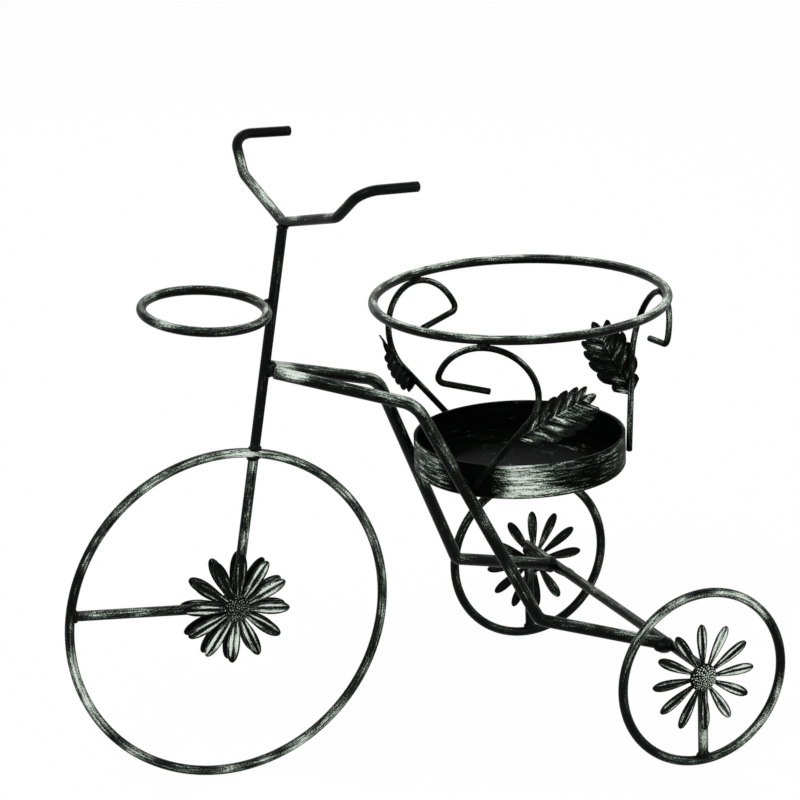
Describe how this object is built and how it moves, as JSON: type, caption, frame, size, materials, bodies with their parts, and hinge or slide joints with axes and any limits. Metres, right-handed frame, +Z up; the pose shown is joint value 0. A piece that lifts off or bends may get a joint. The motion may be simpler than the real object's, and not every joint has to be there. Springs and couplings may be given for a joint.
{
  "type": "bicycle planter",
  "caption": "Welded steel rod tricycle that holds a flower pot: a pot ring on scrolls over a drip tray, a cup ring in front, pressed flowers and leaves.",
  "frame": {"origin": "on the floor, at the middle of the bottom of the whole object's box", "axes": "+Z up; the front wheel points to -X; the rider's right is +Y"},
  "size_m": [0.5364, 0.3394, 0.4865],
  "materials": {
    "rod_paint": "near-black satin paint with dry-brushed silver-green streaks along the rod",
    "tray_paint": "near-black satin paint with dry-brushed silver-green streaks around the wall",
    "petal_paint": "near-black satin paint, silver on the ridges",
    "seed_head_paint": "near-black satin paint, silver on the beads",
    "leaf_paint": "near-black satin paint, silver on the veins and lobe edges"
  },
  "bodies": {
    "root": {"cup_ring": "rod_paint", "drip_tray": "tray_paint", "frame_bar_left": "rod_paint", "frame_bar_right": "rod_paint", "front_flower_button_left": "seed_head_paint", "front_flower_button_right": "seed_head_paint", "front_flower_left": "petal_paint", "front_flower_right": "petal_paint", "front_wheel_forward_spoke": "rod_paint", "front_wheel_rim": "rod_paint", "front_wheel_upright_spoke": "rod_paint", "handlebar": "rod_paint", "leaf_1": "leaf_paint", "leaf_2": "leaf_paint", "leaf_3": "leaf_paint", "pot_ring": "rod_paint", "rear_axle": "rod_paint", "rear_flower_button_left": "seed_head_paint", "rear_flower_button_right": "seed_head_paint", "rear_flower_left": "petal_paint", "rear_flower_right": "petal_paint", "rear_wheel_rim_left": "rod_paint", "rear_wheel_rim_right": "rod_paint", "rear_wheel_spoke_left": "rod_paint", "rear_wheel_spoke_right": "rod_paint", "scroll_1": "rod_paint", "scroll_2": "rod_paint", "scroll_3": "rod_paint", "steering_column": "rod_paint"}
  },
  "joints": []
}
